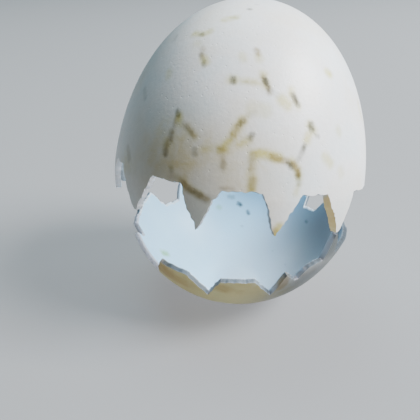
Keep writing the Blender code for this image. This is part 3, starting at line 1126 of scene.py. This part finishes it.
@dataclass(frozen=True)
class BrokenEdge(Finish):
    """Freshly broken eggshell: columns of calcite between the cuticle and the membrane.

    The break is rough and chalky, greyer across the columns, with a thin bright line where
    the membrane ends.  Under the outside's soiling-and-shade patches a grey glaze darkens it,
    painted shade on the lower piece's right rim; some stretches are painted pale, painted light
    where they lie in shade; and stain has turned others cream or rust.  The bands' stops run
    from the outside to the membrane.
    Crystals are drawn coarser than real ones, so that they show.
    """

    calcite: str = "#D6D8DA"
    grey: str = "#BEC2C6"
    membrane: str = "#DCE6EC"
    # painted light: pale laid over stretches of the break that lie in shade
    pale: str = "#EFECEC"
    cream: str = "#FFDF9B"
    rust: str = "#D9B98A"
    # painted shade: grey glaze for the break under the soiling-and-shade patches, on the lower piece's
    # right rim
    soil_and_painted_shade: str = "#84898C"
    band_stops: tuple[float, ...] = (0.16, 0.4, 0.75, 0.9, 1.0)
    band_raggedness: float = 0.3
    roughness: float = 0.75
    ior: float = 1.5
    crystals: Noise = Noise(0.35, 4.0, 0.7)
    crystal_depth: float = 0.1

    def build(self) -> bpy.types.Material:
        """Make the material.

        Returns:
            The finished material.
        """
        material, tree, place = self.start()
        crystals = add_node(tree, "ShaderNodeTexNoise", inputs=self.crystals.inputs(place)).outputs["Fac"]
        inputs = {"Height": crystals, "Distance": self.crystal_depth * MM, "Strength": 1.0}
        bump = add_node(tree, "ShaderNodeBump", inputs=inputs)
        inputs = {"Base Color": self._colour(tree, crystals), "Normal": bump.outputs[0]}
        inputs |= {"Roughness": self.roughness, "IOR": self.ior}
        shader = add_node(tree, "ShaderNodeBsdfPrincipled", inputs=inputs)
        add_node(tree, "ShaderNodeOutputMaterial", inputs={"Surface": shader.outputs[0]})
        return material

    def _colour(self, tree: bpy.types.NodeTree, crystals: Socket) -> Socket:
        """Bands across the wall, with the dirt, the pale and cream stretches and the rust.

        Args:
            tree: node tree.
            crystals: noise of the crystals, which makes the bands ragged.

        Returns:
            Colour socket.
        """
        layer = add_node(tree, "ShaderNodeAttribute", {"attribute_name": "layer"})
        inputs = {0: crystals, 1: self.band_raggedness, 2: layer.outputs["Fac"]}
        ragged = add_node(tree, "ShaderNodeMath", TIMES_PLUS, inputs)
        bands = add_node(tree, "ShaderNodeValToRGB", inputs={"Fac": ragged.outputs[0]})
        codes = (self.calcite, self.grey, self.grey, self.calcite, self.membrane)
        set_stops(bands.color_ramp, tuple(zip(self.band_stops, codes)))
        tints = self.columns(tree, "tint")
        # painted shade: grey glaze under the soiling-and-shade patches
        inputs = {0: tints[PatchKind.SOIL_AND_PAINTED_SHADE.value], 6: bands.outputs["Color"], 7: linear(self.soil_and_painted_shade)}
        colour = add_node(tree, "ShaderNodeMix", GLAZE, inputs).outputs[2]
        # painted light: pale over stretches that lie in shade, then the cream stain
        for name, code in (("pale", self.pale), ("cream", self.cream)):
            where = add_node(tree, "ShaderNodeAttribute", {"attribute_name": name})
            inputs = {0: where.outputs["Fac"], 6: colour, 7: linear(code)}
            colour = add_node(tree, "ShaderNodeMix", COVER, inputs).outputs[2]
        inputs = {0: tints[PatchKind.RUST.value], 6: colour, 7: linear(self.rust)}
        return add_node(tree, "ShaderNodeMix", GLAZE, inputs).outputs[2]


@dataclass(frozen=True)
class StudioPaper:
    """Matte pale paper that the shell stands on; its fine tooth keeps it from shining."""

    name: str = "pale_studio_paper"
    tone: str = "#8B8C8D"
    roughness: float = 0.95
    gloss: float = 0.2

    def build(self) -> bpy.types.Material:
        """Make the material.

        Returns:
            The finished material.
        """
        material = bpy.data.materials.new(self.name)
        material.use_nodes = True
        shader = material.node_tree.nodes["Principled BSDF"]
        shader.inputs["Base Color"].default_value = linear(self.tone)
        shader.inputs["Roughness"].default_value = self.roughness
        shader.inputs["Specular IOR Level"].default_value = self.gloss
        return material


# --------------------------------------------------------------------------------------------
# Pieces
# --------------------------------------------------------------------------------------------
class Skin(Enum):
    """The three surfaces of a piece, in the order of its materials."""

    OUTSIDE = 0
    BREAK = 1
    MEMBRANE = 2


@dataclass
class Ring:
    """A ring of points round the egg's axis; layer is its depth in the wall, 0 outside, 1 inside."""

    points: np.ndarray
    normals: np.ndarray
    layer: float
    first: int = 0

    @property
    def count(self) -> int:
        """Number of points in the ring."""
        return len(self.points)

    def number(self, index: int) -> int:
        """Number that a point of the ring has in the mesh; after the last comes the first."""
        return self.first + index % self.count

    def holds(self, numbers: np.ndarray) -> np.ndarray:
        """Whether each number is that of a point of the ring."""
        return (numbers >= self.first) & (numbers < self.first + self.count)


@dataclass
class ShellPiece:
    """One piece of the broken shell: outside, broken edge and membrane in a single mesh.

    Rings up to even_height lie level, those past it follow the broken edge.  Past fine_height
    they are close enough together for the marks.  Lengths are in millimetres.
    """

    name: str
    node: str
    end: End
    crack: CrackLine
    outside_marks: MarkField
    inside_marks: MarkField
    materials: tuple[bpy.types.Material, bpy.types.Material, bpy.types.Material]
    placing: Matrix
    form: EggForm
    even_height: float
    fine_height: float
    coarse_row: float = 0.9
    fine_row: float = 0.45
    membrane_row: float = 0.99
    least_rows: int = 3
    least_run: float = 1.0
    band_rows: int = 24
    membrane_band_rows: int = 12
    edge_layers: tuple[float, ...] = (0.0, 0.08, 0.2, 0.36, 0.52, 0.68, 0.84, 1.0)
    near_edge: tuple[float, ...] = (0.3, 0.12, 0.0)

    def even_runs(self, face: Meridian, row: float) -> np.ndarray:
        """Distances from the pole of the level rings.

        Args:
            face: outline of the face.
            row: distance between rings where marks lie.

        Returns:
            Distances, from the first ring past the pole to the last level one.
        """
        stop = float(face.run_at(self.even_height))
        change = float(np.clip(face.run_at(self.fine_height), self.least_run, stop - self.least_run))
        many = max(self.least_rows, round(change / self.coarse_row))
        coarse = np.linspace(0.0, change, many, endpoint=False)[1:]
        many = max(self.least_rows, round((stop - change) / row))
        return np.concatenate((coarse, np.linspace(change, stop, many, endpoint=False)))

    def face_rings(self, inside: bool, line: tuple[np.ndarray, np.ndarray]) -> list[Ring]:
        """Rings of the outside or of the membrane, from the pole to the edge.

        Args:
            inside: True for the membrane.
            line: azimuths and heights of the broken edge on this face.

        Returns:
            Rings; the last one lies on the broken edge.
        """
        face = self.form.meridian(self.end, inside)
        row = self.membrane_row if inside else self.fine_row
        rows = self.membrane_band_rows if inside else self.band_rows
        layer = 1.0 if inside else 0.0
        azimuth, height = line
        edge = face.run_at(height)
        start = float(face.run_at(self.even_height))
        sparse = [(run, azimuth[::2]) for run in self.even_runs(face, row)]
        shares = np.linspace(0.0, 1.0, rows)
        band = [(start + (edge - self.near_edge[0] - start) * share, azimuth) for share in shares]
        last = [(edge - short, azimuth) for short in self.near_edge[1:]]
        return [Ring(*face.ring(run, turns), layer) for run, turns in sparse + band + last]

    def break_rings(self, lines: Sequence[tuple[np.ndarray, np.ndarray]]) -> list[Ring]:
        """Rings across the broken edge, between its two rims.

        Args:
            lines: the edge on each layer between the rims.

        Returns:
            Rings, from the outside to the membrane.
        """
        wall = self.form.meridian(self.end, False)
        rings: list[Ring] = []
        for layer, (azimuth, height) in zip(self.edge_layers[1:-1], lines):
            points, normals = wall.ring(wall.run_at(height), azimuth)
            points = points - normals * self.form.wall * layer
            rings.append(Ring(points, np.zeros_like(normals), layer))
        return rings

    def strip(self, near: Ring, far: Ring) -> list[Face]:
        """Faces between two rings, of which one may have half as many points as the other.

        Args:
            near: ring closer to the outer pole.
            far: the next ring.

        Returns:
            Faces that look outwards on the upper piece.
        """
        if near.count == far.count:
            pairs = [(i, i + 1) for i in range(near.count)]
            return [(near.number(i), far.number(i), far.number(k), near.number(k)) for i, k in pairs]
        few, many = (near, far) if near.count < far.count else (far, near)
        faces: list[Face] = []
        for i in range(few.count):
            left, right = few.number(i), few.number(i + 1)
            one, two, three = (many.number(2 * i + step) for step in range(3))
            faces += [(left, one, two), (left, two, right), (right, two, three)]
        return faces if few is near else [(b, a, c) for a, b, c in faces]

    def weave(self, rings: Sequence[Ring], rims: tuple[Ring, Ring]) -> tuple[list[Face], list[int]]:
        """Join the rings with faces and close both poles.

        Args:
            rings: rings from the outer pole, over the broken edge, to the inner pole.
            rims: the rings along which the broken edge starts and ends.

        Returns:
            The faces, and the skin of each.
        """
        faces: list[Face] = []
        skins: list[int] = []
        skin = Skin.OUTSIDE
        for near, far in zip(rings[:-1], rings[1:]):
            if near is rims[0]:
                skin = Skin.BREAK
            elif near is rims[1]:
                skin = Skin.MEMBRANE
            made = self.strip(near, far)
            faces += made
            skins += [skin.value] * len(made)
        outer = rings[-1].first + rings[-1].count
        for pole, ring, skin in ((outer, rings[0], Skin.OUTSIDE), (outer + 1, rings[-1], Skin.MEMBRANE)):
            for i in range(ring.count):
                pair = (ring.number(i), ring.number(i + 1))
                faces.append((pole, *pair) if skin is Skin.OUTSIDE else (pole, *pair[::-1]))
                skins.append(skin.value)
        if self.end is End.BLUNT:
            faces = [face[::-1] for face in faces]
        return faces, skins

    def gather(self, rings: Sequence[Ring]) -> tuple[np.ndarray, np.ndarray, np.ndarray]:
        """Put the rings' points together, and the two poles after them.

        Args:
            rings: rings from the outer pole to the inner pole.

        Returns:
            Points in millimetres, normals and depths in the wall.
        """
        side = float(self.end.value)
        outer, inner = (self.form.meridian(self.end, inside).height[0] for inside in (False, True))
        points = np.vstack([ring.points for ring in rings] + [[0.0, 0.0, outer], [0.0, 0.0, inner]])
        normals = np.vstack([ring.normals for ring in rings] + [[0.0, 0.0, side], [0.0, 0.0, -side]])
        layers = np.concatenate([np.full(ring.count, ring.layer) for ring in rings] + [[0.0, 1.0]])
        return points, normals, layers

    def build(self) -> bpy.types.Object:
        """Build the mesh, store its fields and dress it.

        Returns:
            The finished piece.
        """
        lines = self.crack.lines(self.edge_layers)
        outside = self.face_rings(False, lines[0])
        membrane = self.face_rings(True, lines[-1])[::-1]
        rings = outside + self.break_rings(lines[1:-1]) + membrane
        for near, far in zip(rings[:-1], rings[1:]):
            far.first = near.first + near.count
        rims = outside[-1], membrane[0]
        faces, skins = self.weave(rings, rims)
        points, normals, layers = self.gather(rings)

        mesh = bpy.data.meshes.new(self.name)
        mesh.from_pydata((points * MM).tolist(), [], faces)
        for material in self.materials:
            mesh.materials.append(material)
        mesh.polygons.foreach_set("material_index", skins)
        mesh.polygons.foreach_set("use_smooth", [True] * len(faces))
        self.store_fields(mesh, points, layers)
        mesh.transform(self.placing)
        mesh.update()
        self.set_normals(mesh, normals, rims, faces, skins)
        piece = place(bpy.data.objects.new(self.name, mesh))
        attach(piece, "root")
        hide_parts(self.node)
        return piece

    def set_normals(
        self,
        mesh: bpy.types.Mesh,
        normals: np.ndarray,
        rims: tuple[Ring, Ring],
        faces: Sequence[Face],
        skins: Sequence[int],
    ) -> None:
        """Give the two faces of the wall the egg's own normals and keep the two rims sharp.

        Args:
            mesh: the piece's mesh, already placed.
            normals: the egg's normals before placing.
            rims: the rings along which the broken edge starts and ends.
            faces: points of every face.
            skins: skin of every face.
        """
        ends = np.zeros(len(mesh.edges) * 2, dtype=np.int32)
        mesh.edges.foreach_get("vertices", ends)
        ends = ends.reshape(-1, 2)
        sharp = rims[0].holds(ends).all(axis=1) | rims[1].holds(ends).all(axis=1)
        mesh.attributes.new("sharp_edge", "BOOLEAN", "EDGE").data.foreach_set("value", sharp)
        turned = normals @ np.array(self.placing.to_3x3()).T
        own = (0.0, 0.0, 0.0)  # leaves a corner the normal that Blender works out
        loops: list[Any] = []
        for face, skin in zip(faces, skins):
            loops += [own if skin == Skin.BREAK.value else turned[point] for point in face]
        mesh.normals_split_custom_set(loops)

    def store_fields(self, mesh: bpy.types.Mesh, points: np.ndarray, layers: np.ndarray) -> None:
        """Store what the finishes read on the mesh's points: strokes, patches, stretches, layer.

        Args:
            mesh: the piece's mesh.
            points: its points in millimetres, before they are placed.
            layers: depth of each point in the wall, 0 outside and 1 inside.
        """
        inner = layers >= 1.0
        gaps, depths, tints = (np.zeros((len(points), 3)) for _ in range(3))
        for marks, side in ((self.outside_marks, ~inner), (self.inside_marks, inner)):
            gaps[side], depths[side] = marks.strokes_at(points[side])
            tints[side] = marks.tints_at(points[side])
        for name, values in (("stroke_gap", gaps), ("stroke_depth", depths), ("tint", tints)):
            store = mesh.attributes.new(name, "FLOAT_VECTOR", "POINT")
            store.data.foreach_set("vector", values.astype(np.float32).ravel())
        azimuth = np.degrees(np.arctan2(points[:, 1], points[:, 0]))
        cream = self.crack.share_at(azimuth, self.crack.creams)
        pale = self.crack.share_at(azimuth, self.crack.painted_light_spans)
        for name, values in (("layer", layers), ("cream", cream), ("pale", pale)):
            store = mesh.attributes.new(name, "FLOAT", "POINT")
            store.data.foreach_set("value", values.astype(np.float32))


@dataclass
class Eggshell:
    """The whole broken shell: lower piece standing, upper piece tilted on it; angles in degrees."""

    form: EggForm = field(default_factory=EggForm)
    tilt_back: float = -11.7
    tilt_right: float = 6.2

    def placings(self) -> tuple[Matrix, Matrix]:
        """Where the two pieces stand.

        Returns:
            Matrices for the lower and the upper piece.
        """
        centre = Matrix.Translation((0.0, 0.0, self.form.flat_depth * MM))
        tilt = Matrix.Rotation(math.radians(self.tilt_right), 4, "Y")
        tilt = tilt @ Matrix.Rotation(math.radians(self.tilt_back), 4, "X")
        return centre, centre @ tilt

    def build_lower(self) -> bpy.types.Object:
        """Build the lower piece.

        Returns:
            The finished piece.
        """
        zero = self.form.blunt
        outside = StrayMarks(count=14, azimuths=(-30.0, 190.0), heights=(3.0, 12.0), seed=41).strokes()
        inside = StrayMarks(7, azimuths=(-160.0, -30.0), heights=(4.0, 11.0), seed=42, longest=1).strokes()
        # painted shade: the lower break's bands are a dark blue-grey standing in for shade on its cut
        # faces; its painted-light stretches are a light grey
        edge = BrokenEdge("broken_calcite_lower", calcite="#818D95", grey="#647179", pale="#C3C3C9")
        return ShellPiece(
            name="lower_shell_look",
            node="lower_shell",
            end=End.BLUNT,
            crack=CrackLine(LOWER_CORNERS, zero, into_shell=-1.0, chips=26, seed=3, painted_light_spans=LOWER_PAINTED_LIGHT),
            outside_marks=MarkField(self.form, zero, outside, LOWER_PATCHES, inside=False),
            inside_marks=MarkField(self.form, zero, [*LOWER_SPECKS, *inside], LOWER_MEMBRANE_SHADE, inside=True),
            materials=(
                # painted shade: the lower outside's soiling-and-shade glaze is a dark grey
                ShellOutside("stained_white_eggshell_lower", soil_and_painted_shade="#5A6163").build(),
                edge.build(),
                ShellMembrane("dried_shell_membrane_lower").build(),
            ),
            placing=self.placings()[0],
            form=self.form,
            even_height=8.4 - zero,
            fine_height=3.0 - zero,
        ).build()

    def build_upper(self) -> bpy.types.Object:
        """Build the upper piece.

        Returns:
            The finished piece.
        """
        back = StrayMarks(count=26, azimuths=(-32.0, 192.0), heights=(1.5, 25.0), seed=17).strokes()
        inside = StrayMarks(9, azimuths=(0.0, 360.0), heights=(2.0, 22.0), seed=19, longest=1).strokes()
        return ShellPiece(
            name="upper_shell_look",
            node="upper_shell",
            end=End.POINTED,
            crack=CrackLine(
                UPPER_CORNERS,
                zero=0.0,
                into_shell=1.0,
                chips=28,
                seed=6,
                bevels=(Bevel(-59.0, -47.0, membrane=-0.45),),
                creams=((-59.0, -45.5),),
                painted_light_spans=UPPER_PAINTED_LIGHT,
            ),
            outside_marks=MarkField(self.form, 0.0, [*UPPER_STROKES, *back], UPPER_PATCHES, inside=False),
            inside_marks=MarkField(self.form, 0.0, inside, UPPER_MEMBRANE_SHADE, inside=True),
            materials=(
                ShellOutside("streaked_white_eggshell_upper").build(),
                BrokenEdge("broken_calcite_upper").build(),
                ShellMembrane("dried_shell_membrane_upper").build(),
            ),
            placing=self.placings()[1],
            form=self.form,
            even_height=3.0,
            fine_height=23.0,
        ).build()


# --------------------------------------------------------------------------------------------
# Studio
# --------------------------------------------------------------------------------------------
@dataclass(frozen=True)
class SoftLight:
    """A square soft box, aimed at the shell; angles in degrees, lengths in metres."""

    name: str
    azimuth: float
    elevation: float
    distance: float
    side: float
    watts: float
    colour: str
    shadows: bool = True

    def build(self, target: Vector) -> None:
        """Hang the light.

        Args:
            target: point that it is aimed at.
        """
        lamp = bpy.data.lights.new(self.name, "AREA")
        lamp.shape = "SQUARE"
        lamp.size = self.side
        lamp.energy = self.watts
        lamp.color = linear(self.colour)[:3]
        lamp.use_shadow = self.shadows
        turn, rise = math.radians(self.azimuth), math.radians(self.elevation)
        away = Vector((math.cos(turn) * math.cos(rise), math.sin(turn) * math.cos(rise), math.sin(rise)))
        light = place(bpy.data.objects.new(self.name, lamp))
        light.location = target + away * self.distance
        light.rotation_euler = away.to_track_quat("Z", "Y").to_euler()


@dataclass
class Studio:
    """Pale floor, soft light and camera; lengths in metres, the lens and its sensor in millimetres."""

    paper: StudioPaper = field(default_factory=StudioPaper)
    floor_side: float = 8.0
    aim_height: float = 0.025
    lights: tuple[SoftLight, ...] = (
        SoftLight("key_soft_box", -12.0, 42.0, 1.6, 0.7, 56.0, "#FCFCFF"),
        SoftLight("key_wash", -8.0, 42.0, 1.6, 0.7, 46.0, "#FCFCFF", shadows=False),
        SoftLight("top_soft_box", 110.0, 62.0, 1.4, 0.9, 12.0, "#BFE4F0"),
        SoftLight("rim_soft_box", 35.0, 25.0, 1.8, 0.9, 16.0, "#BDE2F4"),
    )
    room: str = "#E2EAE9"
    room_strength: float = 0.06
    eye: tuple[float, float, float] = (-0.0053, -0.0857, 0.0613)
    look_down: float = 27.5
    lens: float = 42.9
    sensor: float = 36.0
    sight: Span = (0.002, 20.0)

    def build(self) -> None:
        """Lay the floor, hang the lights, fill the room with light and set the camera."""
        self._lay_floor()
        for light in self.lights:
            light.build(Vector((0.0, 0.0, self.aim_height)))
        self._fill_room()
        self._set_camera()

    def _lay_floor(self) -> None:
        """Lay the sheet of paper that the shell stands on."""
        mesh = bpy.data.meshes.new("floor")
        half = self.floor_side / 2.0
        corners = [(-half, -half, 0.0), (half, -half, 0.0), (half, half, 0.0), (-half, half, 0.0)]
        mesh.from_pydata(corners, [], [(0, 1, 2, 3)])
        mesh.materials.append(self.paper.build())
        floor = place(bpy.data.objects.new("floor", mesh))

    def _fill_room(self) -> None:
        """Give the room its faint even light."""
        world = bpy.data.worlds.new("studio_room")
        world.use_nodes = True
        ground = world.node_tree.nodes["Background"]
        ground.inputs["Color"].default_value = linear(self.room)
        ground.inputs["Strength"].default_value = self.room_strength
        bpy.context.scene.world = world

    def _set_camera(self) -> None:
        """Set the camera in front of the shell, looking down at it."""
        lens = bpy.data.cameras.new("camera")
        lens.lens = self.lens
        lens.sensor_width = self.sensor
        lens.clip_start, lens.clip_end = self.sight
        camera = place(bpy.data.objects.new("camera", lens))
        camera.location = self.eye
        camera.rotation_euler = (math.radians(90.0 - self.look_down), 0.0, 0.0)
        bpy.context.scene.camera = camera


def main() -> None:
    """Build the shell and its studio, in order."""
    logging.basicConfig(level=logging.INFO, format="%(name)s: %(message)s")
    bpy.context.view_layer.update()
    shell = Eggshell()
    for piece in (shell.build_lower(), shell.build_upper()):
        triangles = sum(len(face.vertices) - 2 for face in piece.data.polygons)
        LOG.info("%s: %d triangles", piece.name, triangles)
    Studio().build()
    LOG.info("studio ready")


if __name__ == "__main__":
    main()
